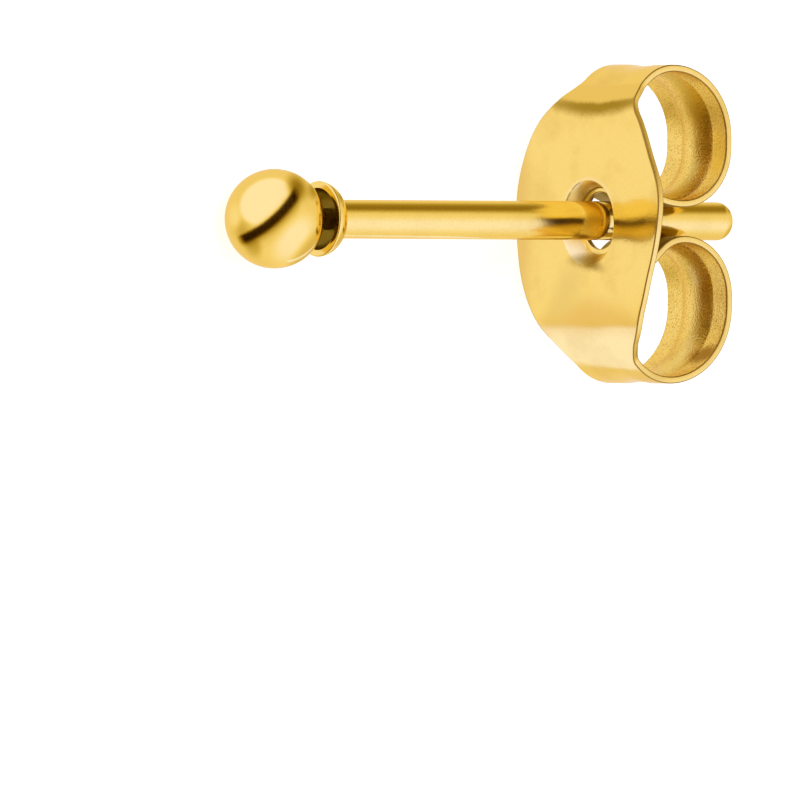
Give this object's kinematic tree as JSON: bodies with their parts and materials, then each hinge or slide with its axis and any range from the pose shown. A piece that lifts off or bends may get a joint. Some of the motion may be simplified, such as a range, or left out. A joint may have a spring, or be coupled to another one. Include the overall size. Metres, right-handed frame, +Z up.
{
  "type": "ball stud earring",
  "caption": "Polished gold-coloured ball stud earring lying on its side: a ball on a cupped post, with a two-loop butterfly clutch that slides on the post.",
  "frame": {"origin": "bottom centre of the bounding box, on the surface that the stud lies on", "axes": "+X along the surface from the ball towards the tip of the post, +Y towards the upper wing of the clutch, which is the slightly smaller one, +Z up"},
  "size_m": [0.0121, 0.0064, 0.0048],
  "materials": {
    "polished_gold": "mirror polished, gold-coloured coating",
    "sheet_gold": "polished outside and satin inside the loops, gold-coloured coating"
  },
  "bodies": {
    "stud": {"ball": "polished_gold", "post": "polished_gold"},
    "clutch": {"butterfly_clutch": "sheet_gold"}
  },
  "joints": [
    {"name": "clutch_slide", "type": "slide", "parent": "stud", "child": "clutch", "axis": [0.984, 0, 0.1783], "range_m": [-0.0065, 0.006]}
  ]
}
